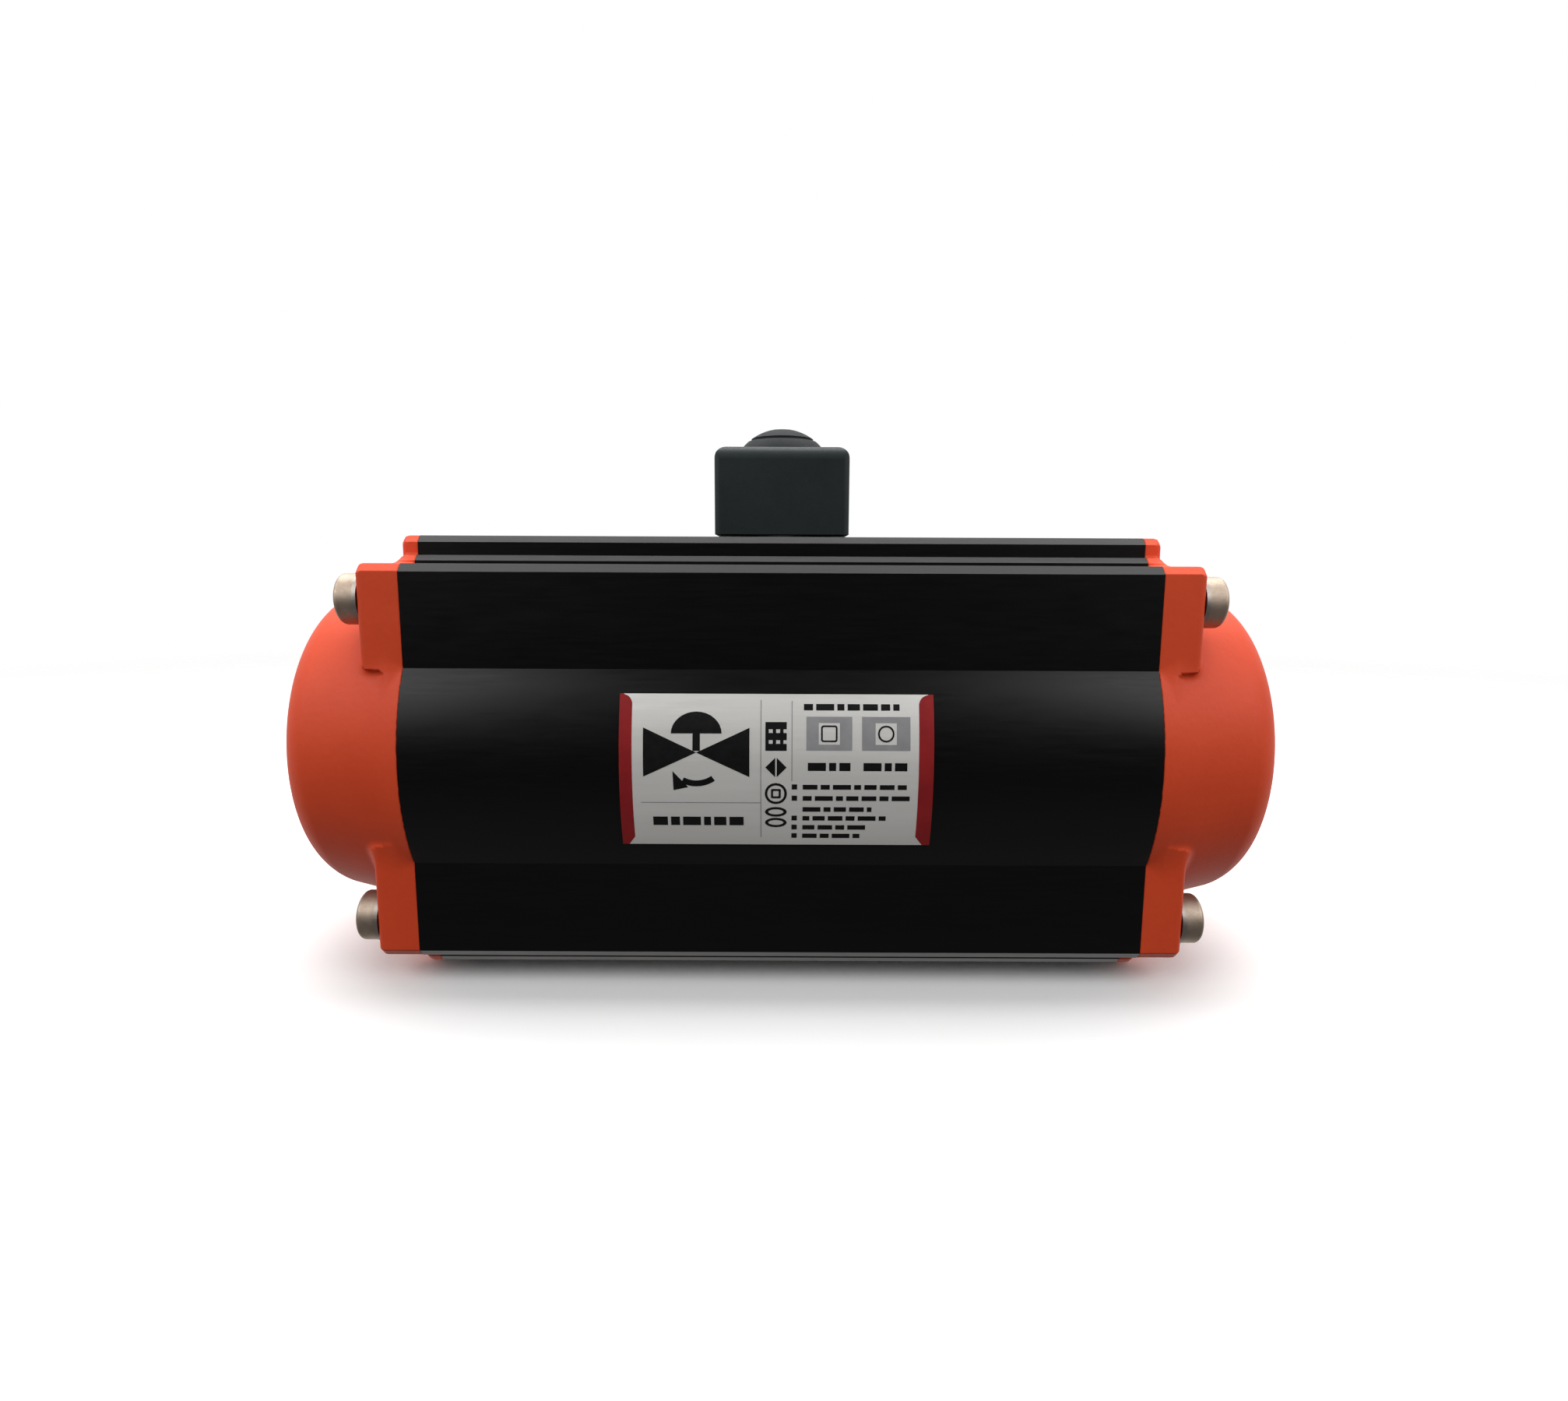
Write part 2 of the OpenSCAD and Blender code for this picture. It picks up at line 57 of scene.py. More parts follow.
CAP_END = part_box("end_cap_right")[1].x
AXIS_Z = HOUSING_HIGH.z / 2
HALF_LEN = HOUSING_HIGH.x


def in_mm(length):
    """A length from the frame in millimetres, without the noise of its single precision."""
    return round(length / MM, 2)


# ---- Shader nodes ------------------------------------------------------

def node(tree, kind, inputs=None, **settings):
    """A shader node with its settings, and its inputs as values or as sockets to link from."""
    made = tree.nodes.new("ShaderNode" + kind)
    for key, value in settings.items():
        setattr(made, key, value)
    for key, value in (inputs or {}).items():
        if isinstance(value, bpy.types.NodeSocket):
            tree.links.new(value, made.inputs[key])
        else:
            made.inputs[key].default_value = value
    return made


def place_in(tree, stretch=(1, 1, 1)):
    """Object coordinates, squeezed along each axis, so that 0.05 along X gives streaks along X."""
    coord = node(tree, "TexCoord")
    mapping = node(tree, "Mapping", {"Vector": coord.outputs["Object"], "Scale": stretch})
    return mapping.outputs["Vector"]


def noise(tree, where, scale, detail=4.0, rough=0.6):
    made = node(tree, "TexNoise", {
        "Vector": where, "Scale": scale, "Detail": detail, "Roughness": rough})
    return made.outputs["Fac"]


def remap(tree, value, low, high, from_low=0.3, from_high=0.7):
    made = node(tree, "MapRange", {
        "Value": value, "From Min": from_low, "From Max": from_high, "To Min": low, "To Max": high})
    return made.outputs["Result"]


def blend_colours(tree, amount, dark, light):
    made = node(tree, "Mix", data_type="RGBA")
    tree.links.new(amount, made.inputs["Factor"])
    made.inputs[6].default_value = (*dark, 1)
    made.inputs[7].default_value = (*light, 1)
    return made.outputs[2]


# ---- Camera and light --------------------------------------------------

CAMERA_PLACE = (0.0008, -0.2596, 0.10795)
CAMERA_DIP = 8.47
CAMERA_ROLL = 0.25
CAMERA_LENS = 20.09
SENSOR_W = 36
CLIP_START = 0.01

LIGHT_AIM = (0, 0, 0.06)
KEY_POWER = 5.0
KEY_SIZE = (0.8, 0.6)
KEY_PLACE = (0.66, -0.46, 0.56)
TOP_POWER = 14.0
TOP_SIZE = (1.6, 0.6)
TOP_PLACE = (0, 0.23, 0.95)

# The sky's strength in front, behind and below, and the directions between which it changes
SKY_FRONT = 0.035
SKY_BACK = 1.0
SKY_BELOW = 0.15
SKY_TURN_Y = (-0.2, 0.5)
SKY_TURN_Z = (-0.6, -0.1)
SKY_COLOUR = (1, 0.985, 0.97, 1)
WHITE = (1, 1, 1, 1)


def add_camera():
    data = bpy.data.cameras.new("camera")
    data.sensor_fit = "HORIZONTAL"
    data.sensor_width = SENSOR_W
    data.lens = CAMERA_LENS
    data.clip_start = CLIP_START
    camera = bpy.data.objects.new("camera", data)
    bpy.context.scene.collection.objects.link(camera)
    place = Matrix.Translation(CAMERA_PLACE)
    tilt = Matrix.Rotation(math.radians(90 - CAMERA_DIP), 4, "X")
    roll = Matrix.Rotation(math.radians(CAMERA_ROLL), 4, "Z")
    camera.matrix_world = place @ tilt @ roll
    bpy.context.scene.camera = camera


def add_softbox(name, place, size, power):
    data = bpy.data.lights.new(name, "AREA")
    data.shape = "RECTANGLE"
    data.size, data.size_y = size
    data.energy = power
    light = bpy.data.objects.new(name, data)
    bpy.context.scene.collection.objects.link(light)
    aim = (Vector(LIGHT_AIM) - Vector(place)).to_track_quat("-Z", "Y")
    light.matrix_world = Matrix.Translation(place) @ aim.to_matrix().to_4x4()


def add_world():
    """White for the background. As light, the sky is bright behind the object and dark in front of it."""
    world = bpy.data.worlds.new("studio")
    bpy.context.scene.world = world
    world.use_nodes = True
    tree = world.node_tree
    tree.nodes.clear()
    direction = node(tree, "SeparateXYZ", {"Vector": node(tree, "TexCoord").outputs["Generated"]})
    back = remap(tree, direction.outputs["Y"], SKY_FRONT, SKY_BACK, *SKY_TURN_Y)
    below = remap(tree, direction.outputs["Z"], SKY_BELOW, 0.0, *SKY_TURN_Z)
    strength = node(tree, "Math", {0: back, 1: below}, operation="MAXIMUM")
    sky = node(tree, "Background", {"Color": SKY_COLOUR, "Strength": strength.outputs[0]})
    backdrop = node(tree, "Background", {"Color": WHITE, "Strength": 1.0})
    path = node(tree, "LightPath")
    mix = node(tree, "MixShader", {"Fac": path.outputs["Is Camera Ray"]})
    out = node(tree, "OutputWorld")
    tree.links.new(sky.outputs[0], mix.inputs[1])
    tree.links.new(backdrop.outputs[0], mix.inputs[2])
    tree.links.new(mix.outputs[0], out.inputs["Surface"])


def add_light():
    add_world()
    x, y, z = KEY_PLACE
    add_softbox("key_left", (-x, y, z), KEY_SIZE, KEY_POWER)
    add_softbox("key_right", (x, y, z), KEY_SIZE, KEY_POWER)
    add_softbox("top", TOP_PLACE, TOP_SIZE, TOP_POWER)


# ---- Materials ---------------------------------------------------------
# Sizes of spots and grain are noise scales, in features to the metre. Depths are in metres.

def new_material(name):
    material = bpy.data.materials.new(name)
    material.use_nodes = True
    tree = material.node_tree
    tree.nodes.clear()
    shader = node(tree, "BsdfPrincipled")
    out = node(tree, "OutputMaterial")
    tree.links.new(shader.outputs["BSDF"], out.inputs["Surface"])
    return material, tree, shader


def finish_material(name, dark, light, rough, metallic=0.0, spots=60, stretch=(1, 1, 1),
                    grain=900, depth=0.00002, **constant):
    """Colour that drifts from dark to light in spots, with a fine grain in its roughness and as bump."""
    material, tree, shader = new_material(name)
    where = place_in(tree, stretch)
    drift = remap(tree, noise(tree, where, spots), 0, 1)
    tree.links.new(blend_colours(tree, drift, dark, light), shader.inputs["Base Color"])
    fine = noise(tree, where, grain, detail=6.0)
    tree.links.new(remap(tree, fine, *rough), shader.inputs["Roughness"])
    bump = node(tree, "Bump", {"Height": fine, "Distance": depth, "Strength": 1.0})
    tree.links.new(bump.outputs["Normal"], shader.inputs["Normal"])
    shader.inputs["Metallic"].default_value = metallic
    for key, value in constant.items():
        shader.inputs[key.replace("_", " ")].default_value = value
    return material


COAT_DARK = (0.68, 0.066, 0.020)
COAT_LIGHT = (0.76, 0.080, 0.026)
COAT_ROUGH = (0.44, 0.58)
COAT_SPECULAR = 0.20
COAT_DRIFT = 35
COAT_PEEL = 620
COAT_PEEL_DEPTH = 0.00010
COAT_SPECKS = 3200
COAT_SPECK_DEPTH = 0.00002


def powder_coat():
    """Orange-red powder coat over a casting: a low orange peel, fine specks, and a slight drift in colour."""
    material, tree, shader = new_material("orange_powder_coat")
    where = place_in(tree)
    drift = remap(tree, noise(tree, where, COAT_DRIFT, detail=5.0), 0, 1)
    colour = blend_colours(tree, drift, COAT_DARK, COAT_LIGHT)
    tree.links.new(colour, shader.inputs["Base Color"])
    peel = noise(tree, where, COAT_PEEL, detail=2.0, rough=0.4)
    specks = noise(tree, where, COAT_SPECKS, detail=1.0)
    tree.links.new(remap(tree, specks, *COAT_ROUGH), shader.inputs["Roughness"])
    low = node(tree, "Bump", {"Height": peel, "Distance": COAT_PEEL_DEPTH, "Strength": 0.5})
    fine = node(tree, "Bump", {
        "Height": specks, "Distance": COAT_SPECK_DEPTH, "Normal": low.outputs["Normal"]})
    tree.links.new(fine.outputs["Normal"], shader.inputs["Normal"])
    shader.inputs["Specular IOR Level"].default_value = COAT_SPECULAR
    return material


def metals():
    steel = dict(metallic=1.0, grain=2600, depth=0.000006)
    return {
        "black_anodised": finish_material(
            "black_anodised", (0.0022, 0.0022, 0.0025), (0.0038, 0.0037, 0.0039), (0.28, 0.38),
            spots=45, stretch=(0.06, 1, 1), grain=1500, depth=0.000008, Specular_IOR_Level=0.30),
        "zinc_steel": finish_material(
            "stainless_screws", (0.40, 0.315, 0.25), (0.52, 0.42, 0.34), (0.48, 0.62),
            spots=300, **steel),
        "washer_steel": finish_material(
            "washer_steel", (0.34, 0.30, 0.27), (0.46, 0.41, 0.37), (0.40, 0.52),
            spots=260, **steel),
        "spring_steel": finish_material(
            "spring_steel", (0.035, 0.035, 0.036), (0.07, 0.07, 0.072), (0.35, 0.5),
            spots=200, **steel),
        "nickel_steel": finish_material(
            "nickel_plated_steel", (0.44, 0.43, 0.41), (0.58, 0.57, 0.54), (0.22, 0.34),
            spots=120, **steel),
        "cast_aluminium": finish_material(
            "cast_aluminium", (0.46, 0.47, 0.48), (0.62, 0.63, 0.64), (0.40, 0.56),
            metallic=1.0, spots=90, grain=1400, depth=0.00004),
        "name_plate": finish_material(
            "silver_plate", (0.80, 0.79, 0.76), (0.88, 0.87, 0.84), (0.34, 0.46),
            metallic=0.30, spots=160, stretch=(0.05, 1, 1), grain=2400, depth=0.000004),
    }


def plastics():
    return {
        "nitrile": finish_material(
            "nitrile_rubber", (0.012, 0.012, 0.012), (0.022, 0.022, 0.022), (0.55, 0.75),
            spots=150, grain=1800),
        "bearing_plastic": finish_material(
            "acetal", (0.70, 0.69, 0.64), (0.80, 0.79, 0.74), (0.35, 0.5),
            spots=80, grain=1600, Subsurface_Weight=0.08),
        "indicator_plastic": finish_material(
            "slate_plastic", (0.014, 0.020, 0.021), (0.020, 0.027, 0.028), (0.44, 0.58),
            spots=70, grain=1900, Specular_IOR_Level=0.25),
        "knob_plastic": finish_material(
            "knob_plastic", (0.016, 0.019, 0.020), (0.024, 0.028, 0.029), (0.50, 0.64),
            spots=70, grain=1900, Specular_IOR_Level=0.10),
    }


def inks():
    return {
        "red": finish_material(
            "red_ink", (0.26, 0.013, 0.016), (0.34, 0.019, 0.020), (0.40, 0.52),
            spots=120, Specular_IOR_Level=0.22),
        "black": finish_material(
            "black_ink", (0.004, 0.004, 0.0045), (0.008, 0.008, 0.008), (0.34, 0.50),
            spots=200, Specular_IOR_Level=0.25),
        "grey": finish_material(
            "grey_ink", (0.26, 0.26, 0.27), (0.33, 0.33, 0.34), (0.35, 0.5),
            spots=160),
    }


def dress_cad_nodes(materials):
    """Every CAD node gets the finish of its slot in the record."""
    for part in frame["record"]["subparts"]:
        shown = NODES[part["node"]]
        shown.data.materials.clear()
        shown.data.materials.append(materials[part["material_slot"]])


# ---- Cast end caps -----------------------------------------------------
# The caps are one distance field, in millimetres from the joint plane and the bore axis,
# so that the bosses, tabs and dome meet in cast fillets.

NUB_R = 2.8
NUB_H = 0.6
NUB_ROOT = 4.0
BULGE_R = 50.0
CAP_LEN = in_mm(CAP_END - HALF_LEN) - NUB_H
CROWN_R = 79.0
CROWN_X = CAP_LEN - CROWN_R
DRAFT = math.radians(13.4)
RIM_R = 3.0
WALL = 5.0
BOSS_T = 11.0
TAB_T = 4.6

# Width, height and corner size of each outline across the bore
SHOULDER = (86.4, 102.0, 2.0)
FOOT = (65.0, 106.4, 1.4)
PAD = (60.0, in_mm(HOUSING_HIGH.z), 1.7)
LAND = (56.0, 60.0, 3.0)

# Inner sides of the bosses: from the middle plane, and from the axis for the lower and upper ones
BOSS_IN_Y = 24.0
BOSS_IN_Z = (21.5, 24.8)

BOSS_CORNER_R = 2.5
CAST_EDGE_R = 1.9
FLANGE_EDGE_R = 1.3
SMALL_EDGE_R = 0.3
FILLET_AT_JOINT = 0.3
FILLET = 3.0
TAB_FILLET_SHARE = 0.8
NUB_FILLET = 0.5

SPIGOT_R = 45.9
SPIGOT_LEN = 4.0
SPIGOT_ROOT = 1.0
MOUTH_R = 41.5
GROOVE_DEPTH = 2.4
GROOVE_X = -1.8
GROOVE_HALF = 1.2
SCREW_Y = 36.0
SCREW_Z = 42.0
SCREW_HOLE_R = 4.4
AIR_SLOT_DEPTH = 2.2
AIR_SLOT_Y = (38, 53.7)
AIR_SLOT_Z = -20
AIR_SLOT_HALF = 2.2

# Cell size of the grid, the distance at which the field is cut off, how often its surface points
# are pulled onto the field, and the grid's margins past the cap
VOXEL = 0.6
FAR = 3.0
PULLS = 4
LEAST_SLOPE_SQUARED = 0.25
GRID_BEHIND = 1.2
GRID_AHEAD = 2.1
GRID_AROUND = 1.5


def smooth_min(a, b, k):
    """Where either a or b is inside, with a fillet of size k between them."""
    h = np.clip(0.5 + 0.5 * (b - a) / k, 0, 1)
    return b + (a - b) * h - k * h * (1 - h)


def round_max(a, b, r):
    """Where both a and b are inside, with the edge between them rounded."""
    outside = np.hypot(np.maximum(r + a, 0), np.maximum(r + b, 0))
    return np.minimum(-r, np.maximum(a, b)) + outside


def round_rect(u, v, w, h, r):
    qu = np.abs(u) - w / 2 + r
    qv = np.abs(v) - h / 2 + r
    return np.hypot(np.maximum(qu, 0), np.maximum(qv, 0)) + np.minimum(np.maximum(qu, qv), 0) - r


def chamfered_rect(u, v, w, h, c):
    qu = np.abs(u) - w / 2
    qv = np.abs(v) - h / 2
    return np.maximum(np.maximum(qu, qv), (qu + qv + c) / math.sqrt(2))


def dome_outside(r, x):
    side = (r - BULGE_R + x * math.tan(DRAFT)) * math.cos(DRAFT)
    return round_max(side, np.hypot(r, x - CROWN_X) - CROWN_R, RIM_R)


def flange_outside(x, y, z):
    """The shoulder flange with its four screw bosses."""
    shoulder = chamfered_rect(y, z, *SHOULDER)
    boss_end = np.where(z > 0, BOSS_IN_Z[1], BOSS_IN_Z[0])
    corner = round_max(BOSS_IN_Y - np.abs(y), boss_end - np.abs(z), BOSS_CORNER_R)
    boss = round_max(np.maximum(shoulder, corner), x - BOSS_T, CAST_EDGE_R)
    return np.minimum(boss, round_max(shoulder, x - TAB_T, FLANGE_EDGE_R))


def tabs_outside(x, y, z):
    """The thin tabs that cover the ends of the pads and of the rear land."""
    pads = np.minimum(chamfered_rect(y, z, *FOOT), chamfered_rect(y, z, *PAD))
    land = round_rect(y - LAND[0] / 2, z, *LAND)
    return round_max(np.minimum(pads, land), x - TAB_T, CAST_EDGE_R)


def cap_outside(x, y, z):
    """The casting's outside. Its fillets fade towards the joint, where the cap follows the housing."""
    r = np.hypot(y, z)
    fillet = FILLET_AT_JOINT + (FILLET - FILLET_AT_JOINT) * np.clip(x / TAB_T, 0, 1)
    solid = smooth_min(dome_outside(r, x), flange_outside(x, y, z), fillet)
    solid = smooth_min(solid, tabs_outside(x, y, z), TAB_FILLET_SHARE * fillet)
    nub = round_max(r - NUB_R, x - CAP_LEN - NUB_H, SMALL_EDGE_R)
    nub = np.maximum(nub, CAP_LEN - NUB_ROOT - x)
    return round_max(smooth_min(solid, nub, NUB_FILLET), -x, SMALL_EDGE_R)


def cap_inside(x, y, z):
    """Everything cut from the cap: its hollow, the seal groove, screw holes and air slot."""
    r = np.hypot(y, z)
    mouth = r - MOUTH_R + np.maximum(x, 0) * math.tan(DRAFT)
    hollow = np.maximum(mouth, np.hypot(r, x - CROWN_X) - CROWN_R + WALL)
    groove = np.maximum(SPIGOT_R - GROOVE_DEPTH - r, np.abs(x - GROOVE_X) - GROOVE_HALF)
    holes = np.hypot(np.abs(y) - SCREW_Y, np.abs(z) - SCREW_Z) - SCREW_HOLE_R
    slot_y = np.maximum(AIR_SLOT_Y[0] - y, y - AIR_SLOT_Y[1])
    slot = np.maximum(np.maximum(x - AIR_SLOT_DEPTH, slot_y), np.abs(z - AIR_SLOT_Z) - AIR_SLOT_HALF)
    return np.minimum(np.minimum(hollow, groove), np.minimum(holes, slot))


def cap_field(x, y, z):
    middle = (SPIGOT_ROOT - SPIGOT_LEN) / 2
    half = (SPIGOT_ROOT + SPIGOT_LEN) / 2
    spigot = np.maximum(np.hypot(y, z) - SPIGOT_R, np.abs(x - middle) - half)
    solid = np.minimum(cap_outside(x, y, z), spigot)
    return np.maximum(solid, -cap_inside(x, y, z))


def slope(field, points, step=0.04):
    """The field's slope along each axis, at every point."""
    out = np.empty_like(points)
    for axis in range(3):
        ahead, behind = points.copy(), points.copy()
        ahead[:, axis] += step
        behind[:, axis] -= step
        out[:, axis] = (field(*ahead.T) - field(*behind.T)) / (2 * step)
    return out


def surface_of(field, low, high, voxel):
    """Points and quads of a field's zero surface, pulled onto it, with its own normals."""
    sides = [np.arange(a, b + voxel, voxel) for a, b in zip(low, high)]
    x, y, z = np.meshgrid(*sides, indexing="ij", sparse=True)
    values = np.broadcast_to(field(x, y, z), [len(s) for s in sides])
    grid = openvdb.FloatGrid(FAR)
    grid.copyFromArray(np.ascontiguousarray(np.clip(values, -FAR, FAR), dtype=np.float32))
    points, quads = grid.convertToQuads(isovalue=0.0)
    points = points.astype(float) * voxel + np.array(low)
    for _ in range(PULLS):
        g = slope(field, points)
        squared = np.maximum((g * g).sum(1, keepdims=True), LEAST_SLOPE_SQUARED)
        points -= np.clip(field(*points.T)[:, None] * g / squared, -voxel / 2, voxel / 2)
    normals = slope(field, points)
    normals /= np.maximum(np.linalg.norm(normals, axis=1, keepdims=True), 1e-9)
    return points, quads, normals


def smooth_mesh_object(name, points, faces, normals):
    mesh = bpy.data.meshes.new(name)
    mesh.from_pydata(points.tolist(), [], faces.tolist())
    mesh.polygons.foreach_set("use_smooth", np.ones(len(mesh.polygons), bool))
    mesh.normals_split_custom_set_from_vertices(normals.tolist())
    made = bpy.data.objects.new(name, mesh)
    bpy.context.scene.collection.objects.link(made)
    return made


def add_end_caps(material):
    """Both caps from one surface, the left one mirrored with its faces turned to stay outward."""
    half_height = AXIS_Z / MM + GRID_AROUND
    low = (-SPIGOT_LEN - GRID_BEHIND, -BULGE_R - GRID_AROUND, -half_height)
    high = (CAP_LEN + GRID_AHEAD, HOUSING_HIGH.y / MM + GRID_AROUND, half_height)
    points, quads, normals = surface_of(cap_field, low, high, VOXEL)
    first, second, third = (points[quads[:, corner]] for corner in range(3))
    turned = np.cross(second - first, third - first)
    outward = (turned * slope(cap_field, points[quads].mean(1))).sum() > 0
    for side, name in ((1, "right"), (-1, "left")):
        turn = np.array([side, 1, 1])
        place = (points * turn) * MM + np.array([side * HALF_LEN, 0, AXIS_Z])
        faces = quads if outward == (side > 0) else quads[:, ::-1]
        cap = smooth_mesh_object("end_cap_casting_" + name, place, faces, normals * turn)
        cap.data.materials.append(material)
        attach(cap, "body")
        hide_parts("end_cap_" + name)


# ---- Printed name plate ------------------------------------------------
# Shapes on the plate are outlines in millimetres, right and down from its top left corner,
# wrapped round the bulge.

PLATE_W = (PLATE_HIGH.x - PLATE_LOW.x) / MM
PLATE_H = (PLATE_HIGH.z - PLATE_LOW.z) / MM
PLATE_R = -PLATE_LOW.y / MM
PLATE_TOP = PLATE_HIGH.z / MM - AXIS_Z / MM
INK_T = 0.05
FACE_R = PLATE_R - INK_T

# The inks differ in thickness, so that their outer faces don't coincide where one lies over another
RED_T = 0.6 * INK_T
BLACK_T = 0.9 * INK_T
GREY_T = 0.7 * INK_T

BEND_STEP = 1.0

# Lengths of the blank bars in turn, the gap after each, and the shortest that is drawn
BAR_LENGTHS = (3.6, 2.2, 4.4, 1.7, 3.0)
BAR_GAP = 0.8
BAR_LEAST = 1.0

RULE_T = 0.2
SYMBOL_AT = (18.9, 14.0)
ICONS_X = 38.4

# Left and right side of each panel, and the corner radii of the outline in it, outside and inside
PANELS = ((45.8, 57.0, 0.6, 0.3), (59.4, 71.2, 1.9, 1.6))
PANEL_TOP = 5.3
PANEL_BOTTOM = 13.4
PANEL_HOLE = 2.6

# Top and right end of each row of bars, the row without a mark, and the marks' sides
TEXT_ROWS = ((21.9, 71.0), (24.8, 71.6), (27.7, 62.0), (30.1, 66.0), (32.6, 62.4), (35.0, 60.0))
TEXT_LEFT = 45.0
TEXT_H = 1.2
UNMARKED_ROW = 2
MARK_LEFT = 42.3
MARK_RIGHT = 43.6
MARK_RISE = 0.1


def arc(cx, cy, rx, ry, start, end, steps=16):
    angles = [math.radians(start + (end - start) * i / steps) for i in range(steps + 1)]
    return [(cx + rx * math.cos(a), cy + ry * math.sin(a)) for a in angles]


def rect(s0, t0, s1, t1):
    return [(s0, t0), (s1, t0), (s1, t1), (s0, t1)]


def band(cx, cy, r_in, r_out, start, end):
    return arc(cx, cy, r_out, r_out, start, end) + arc(cx, cy, r_in, r_in, end, start)


def round_square(cx, cy, half, r):
    """Outline of a square with round corners."""
    outline = []
    for quarter, (sx, sy) in enumerate(((1, 1), (-1, 1), (-1, -1), (1, -1))):
        start = 90 * quarter
        outline += arc(cx + sx * (half - r), cy + sy * (half - r), r, r, start, start + 90, 5)
    return outline


def ring(outer, inner):
    """The strip between two outlines with the same number of points, in quads."""
    count = len(outer)
    return [[outer[i], outer[(i + 1) % count], inner[(i + 1) % count], inner[i]] for i in range(count)]


def bars(start, end, top, height, first=0):
    """A row of blank bars of uneven length, where the plate would carry words."""
    row = []
    while start < end - BAR_LEAST:
        length = min(BAR_LENGTHS[(first + len(row)) % len(BAR_LENGTHS)], end - start)
        row.append(rect(start, top, start + length, top + height))
        start += length + BAR_GAP
    return row


def panel(left, right, top, bottom, hole):
    """A grey panel with a square hole in the middle."""
    cx, cy = (left + right) / 2, (top + bottom) / 2
    return [
        rect(left, top, right, cy - hole), rect(left, cy + hole, right, bottom),
        rect(left, cy - hole, cx - hole, cy + hole), rect(cx + hole, cy - hole, right, cy + hole),
    ]


def valve_symbol(cx, cy):
    """The drawing symbol of a valve with its actuator, and a quarter-turn arrow under it."""
    return [
        [(cx - 13.0, cy - 6.0), (cx, cy), (cx - 13.0, cy + 6.0)],
        [(cx + 13.0, cy - 6.0), (cx + 13.0, cy + 6.0), (cx, cy)],
        rect(cx - 0.9, cy - 5.0, cx + 0.9, cy - 0.4),
        arc(cx, cy - 4.6, 6.2, 5.2, 180, 360),
        band(cx, cy + 0.5, 6.4, 7.9, 55, 118),
        [(cx - 5.8, cy + 4.6), (cx - 2.0, cy + 8.6), (cx - 5.6, cy + 9.4)],
    ]


def window_icon(cx, top, half=2.6, bar=1.7, post=0.8, row=2.6, column=1.8):
    """A dark block with windows: three bars, and three posts in each gap between them."""
    icon = [rect(cx - half, top + row * i, cx + half, top + row * i + bar) for i in range(3)]
    for i in range(3):
        left = cx - half + column * i
        icon += [rect(left, top + row * j + bar, left + post, top + row * (j + 1)) for j in range(2)]
    return icon


def arrow_icon(cx, cy):
    """Two arrowheads, one to each side."""
    return [[(cx + side * 2.6, cy), (cx + side * 0.2, cy - 2.4), (cx + side * 0.2, cy + 2.4)]
            for side in (-1, 1)]


def middle_icons(cx):
    """The windows, the arrows, a square in a ring, and two flat rings, one under the other."""
    icons = window_icon(cx, 6.6) + arrow_icon(cx, 17.6)
    icons += ring(round_square(cx, 24.2, 2.7, 2.6), round_square(cx, 24.2, 2.1, 2.0))
    icons += ring(round_square(cx, 24.2, 1.2, 0.3), round_square(cx, 24.2, 0.7, 0.2))
    for cy in (29.0, 31.9):
        icons += ring(arc(cx, cy, 2.7, 1.3, 0, 337, 15), arc(cx, cy, 1.9, 0.7, 0, 337, 15))
    return icons


def red_shapes():
    """The strips down the left and right sides, each with a round top corner and a cut foot."""
    w, h = PLATE_W, PLATE_H
    left_corner = arc(0.9, 2.6, 2.2, 2.4, -80, 0, 8)
    right_corner = arc(w - 1.3, 2.6, 2.3, 2.4, 260, 180, 8)
    return [
        [(0, 0), (0.9, 0)] + left_corner + [(3.2, h - 2.2), (1.6, h), (0, h)],
        [(w, 0), (w - 1.2, 0)] + right_corner + [(w - 3.7, h - 2.4), (w - 1.9, h), (w, h)],
    ]


def black_shapes():
    """A generic valve symbol, plain icons, and blank bars where words would be."""
    shapes = valve_symbol(*SYMBOL_AT)
    shapes += bars(start=8.0, end=30.4, top=30.4, height=2.3)
    shapes += middle_icons(ICONS_X)
    shapes += bars(start=45.2, end=68.6, top=2.3, height=1.5, first=1)
    cy = PANEL_TOP + (PANEL_BOTTOM - PANEL_TOP) / 2
    for left, right, outer_r, inner_r in PANELS:
        cx = (left + right) / 2
        shapes += ring(round_square(cx, cy, half=2.0, r=outer_r), round_square(cx, cy, half=1.6, r=inner_r))
        shapes += bars(left + 0.4, right - 0.4, top=16.4, height=2.0, first=2)
    for row, (top, end) in enumerate(TEXT_ROWS):
        shapes += bars(TEXT_LEFT, end, top, TEXT_H, first=row)
        if row != UNMARKED_ROW:
            shapes.append(rect(MARK_LEFT, top - MARK_RISE, MARK_RIGHT, top + TEXT_H))
    return shapes


def grey_shapes():
    """Ruled lines between the fields, and the two panels."""
    shapes = [
        rect(5.2, 26.5, 34.6, 26.5 + RULE_T),
        rect(34.6, 1.4, 34.6 + RULE_T, 36.0),
        rect(42.2, 1.6, 42.2 + RULE_T, 21.0),
    ]
    for left, right, _, _ in PANELS:
        shapes += panel(left, right, PANEL_TOP, PANEL_BOTTOM, PANEL_HOLE)
    return shapes


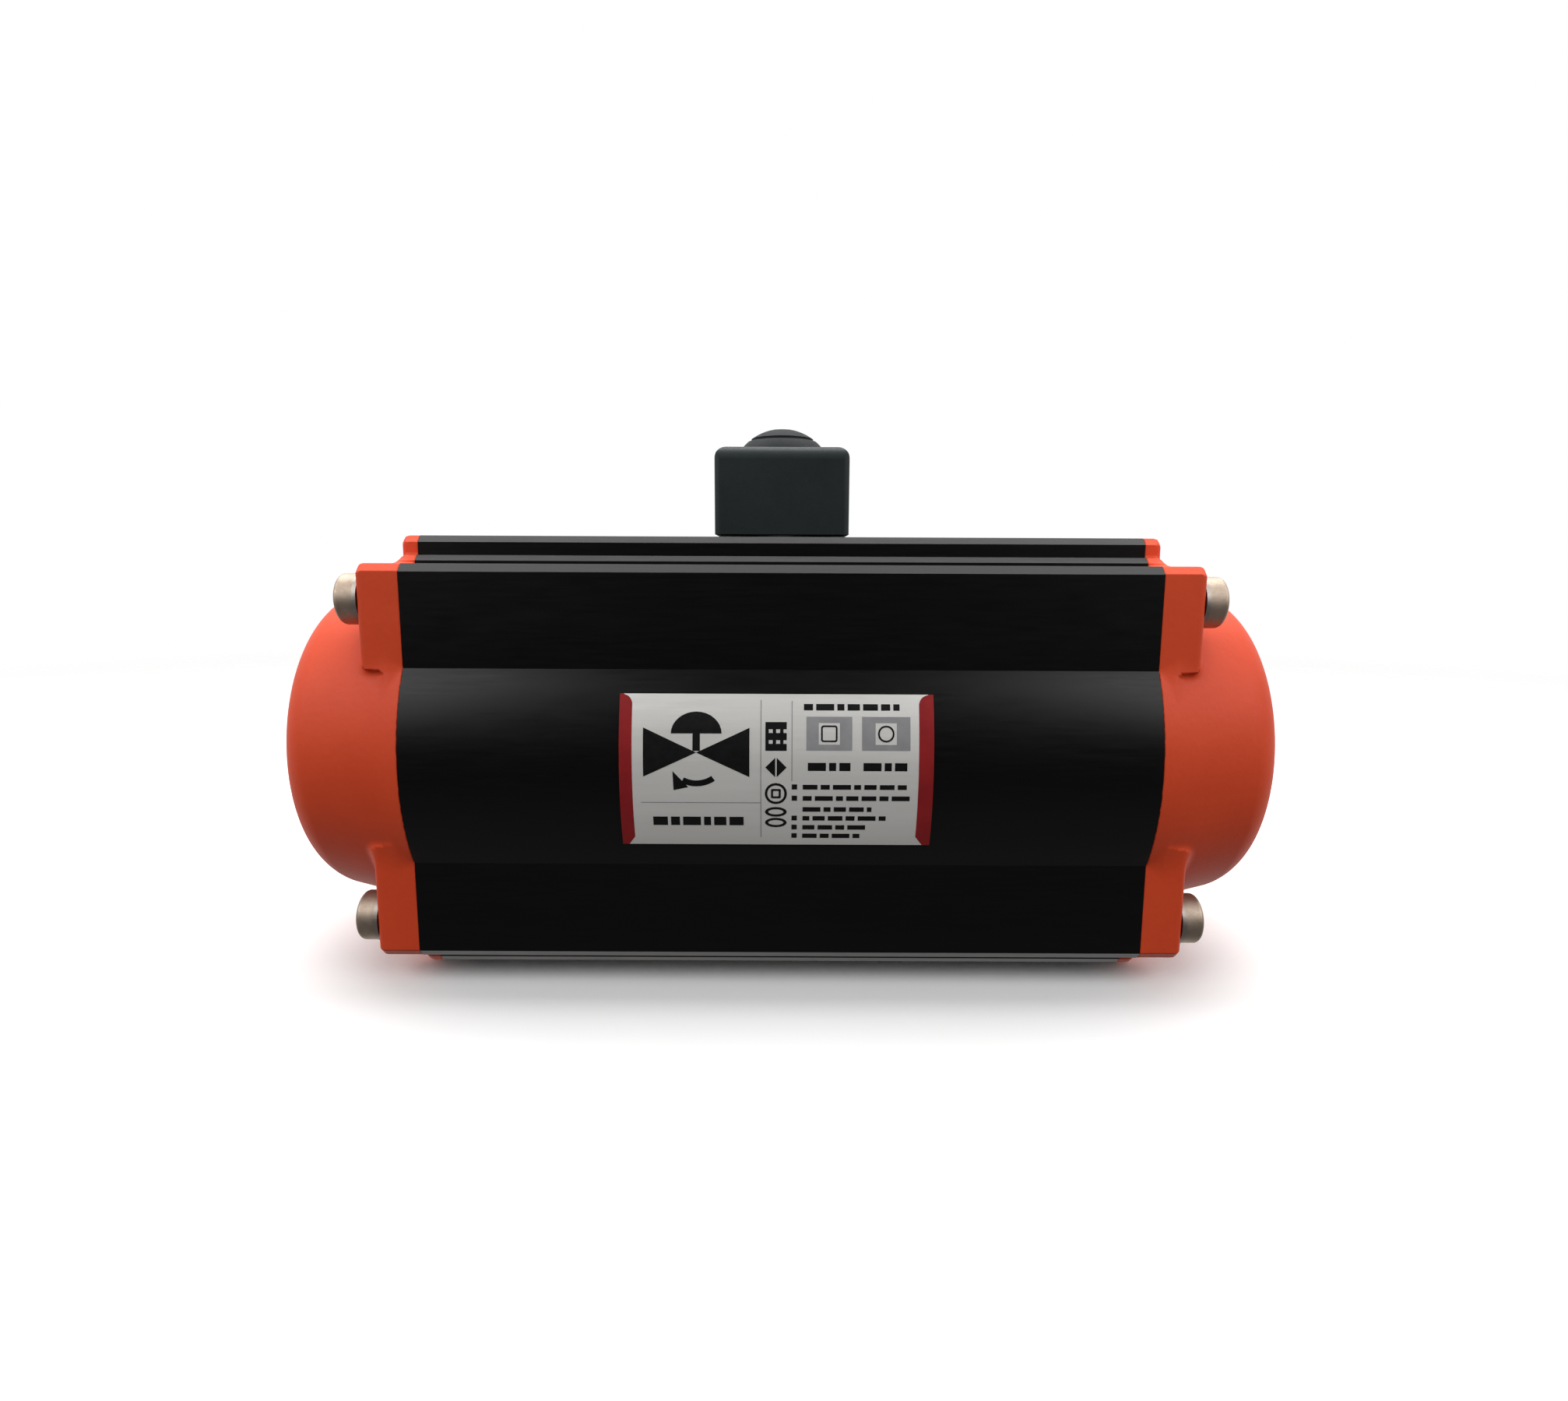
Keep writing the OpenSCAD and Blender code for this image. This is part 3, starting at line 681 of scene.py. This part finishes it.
def wrapped(name, outlines, r_low, r_high, material):
    """Thin solids of the outlines, bent round the bore axis between two radii."""
    mesh = bpy.data.meshes.new(name)
    flat = bmesh.new()
    for outline in outlines:
        flat.faces.new([flat.verts.new((s, 0, -t)) for s, t in outline])
    for level in np.arange(BEND_STEP, PLATE_H, BEND_STEP):
        everything = flat.verts[:] + flat.edges[:] + flat.faces[:]
        bmesh.ops.bisect_plane(flat, geom=everything, plane_co=(0, 0, -level), plane_no=(0, 0, 1))
    bmesh.ops.triangulate(flat, faces=flat.faces[:])
    bmesh.ops.recalc_face_normals(flat, faces=flat.faces[:])
    thick = bmesh.ops.extrude_face_region(flat, geom=flat.faces[:])
    raised = {v for v in thick["geom"] if isinstance(v, bmesh.types.BMVert)}
    for v in flat.verts:
        r = r_high if v in raised else r_low
        angle = math.asin((PLATE_TOP + v.co.z) / PLATE_R)
        x = PLATE_LOW.x + v.co.x * MM
        v.co = Vector((x, -r * math.cos(angle) * MM, AXIS_Z + r * math.sin(angle) * MM))
    bmesh.ops.recalc_face_normals(flat, faces=flat.faces[:])
    flat.to_mesh(mesh)
    flat.free()
    made = bpy.data.objects.new(name, mesh)
    bpy.context.scene.collection.objects.link(made)
    made.data.materials.append(material)
    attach(made, "body")
    return made


def add_name_plate(plate_material):
    ink = inks()
    plate = wrapped("plate_face", [rect(0, 0, PLATE_W, PLATE_H)], BULGE_R, FACE_R, plate_material)
    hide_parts("name_plate")
    wrapped("plate_print_red", red_shapes(), FACE_R, FACE_R + RED_T, ink["red"])
    wrapped("plate_print_black", black_shapes(), FACE_R, FACE_R + BLACK_T, ink["black"])
    wrapped("plate_print_grey", grey_shapes(), FACE_R, FACE_R + GREY_T, ink["grey"])


# ---- Floor -------------------------------------------------------------

FLOOR_FADE = (0.35, 1.1)
FLOOR_EDGE = 0.1
FLOOR_DROP = 0.0002


def add_floor():
    """A plain pale floor that fades into the white background. It throws no light back at the object."""
    mesh = bpy.data.meshes.new("floor")
    side = FLOOR_FADE[1] + FLOOR_EDGE
    corners = [(-side, -side, 0), (side, -side, 0), (side, side, 0), (-side, side, 0)]
    mesh.from_pydata(corners, [], [(0, 1, 2, 3)])
    floor = bpy.data.objects.new("floor", mesh)
    floor.location.z = -FLOOR_DROP
    bpy.context.scene.collection.objects.link(floor)
    pale = finish_material(
        "pale_floor", (0.90, 0.90, 0.90), (0.92, 0.92, 0.92), (0.7, 0.8), spots=4, grain=300)
    tree = pale.node_tree
    coord = node(tree, "TexCoord")
    distance = node(tree, "VectorMath", {0: coord.outputs["Object"]}, operation="LENGTH")
    fade = remap(tree, distance.outputs["Value"], 1, 0, *FLOOR_FADE)
    tree.links.new(fade, tree.nodes["Principled BSDF"].inputs["Alpha"])
    floor.data.materials.append(pale)
    floor.visible_diffuse = False
    floor.visible_glossy = False


# ---- Assembly ----------------------------------------------------------

bpy.context.scene.view_settings.view_transform = "Standard"
add_camera()
add_light()
add_floor()
MATERIALS = {"orange_paint": powder_coat(), **metals(), **plastics()}
dress_cad_nodes(MATERIALS)
add_end_caps(MATERIALS["orange_paint"])
add_name_plate(MATERIALS["name_plate"])
